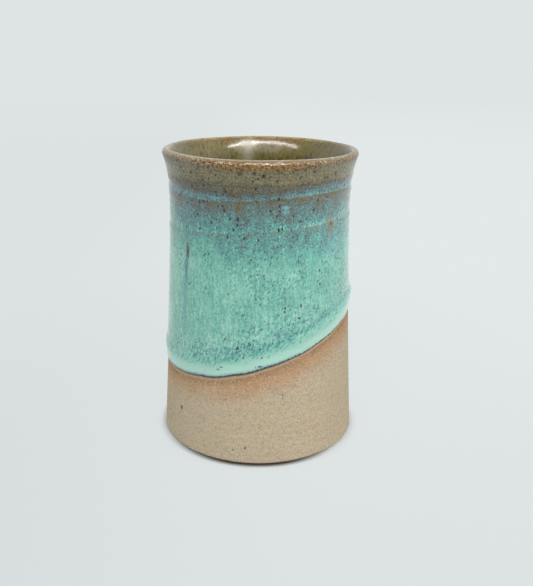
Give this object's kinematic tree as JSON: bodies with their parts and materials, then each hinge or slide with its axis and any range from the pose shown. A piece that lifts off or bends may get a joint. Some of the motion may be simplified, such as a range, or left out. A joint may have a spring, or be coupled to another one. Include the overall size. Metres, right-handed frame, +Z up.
{
  "type": "stoneware tumbler",
  "caption": "Handmade stoneware tumbler without a handle: tapering thrown wall, flared lip, turquoise dip glaze ending on a slanted line, olive liner and rim, bare clay foot.",
  "frame": {"origin": "middle of the foot, on the surface that the cup stands on", "axes": "+Z up along the axis of the thrown wall, -Y towards the viewer of the picture, +X towards the side where the glaze line is high"},
  "size_m": [0.0784, 0.0784, 0.115],
  "materials": {
    "clay": "bare fired stoneware, dry and finely grogged, flashed orange under the glaze line",
    "liner_glaze": "glossy olive glaze with runs",
    "rim_glaze": "glossy olive to rust glaze with iron specks",
    "outer_glaze": "glossy streaked turquoise glaze, pale and thick at its lower edge"
  },
  "bodies": {
    "root": {"clay_body": "clay", "liner_glaze": "liner_glaze", "rim_glaze": "rim_glaze", "outer_glaze": "outer_glaze"}
  },
  "joints": []
}
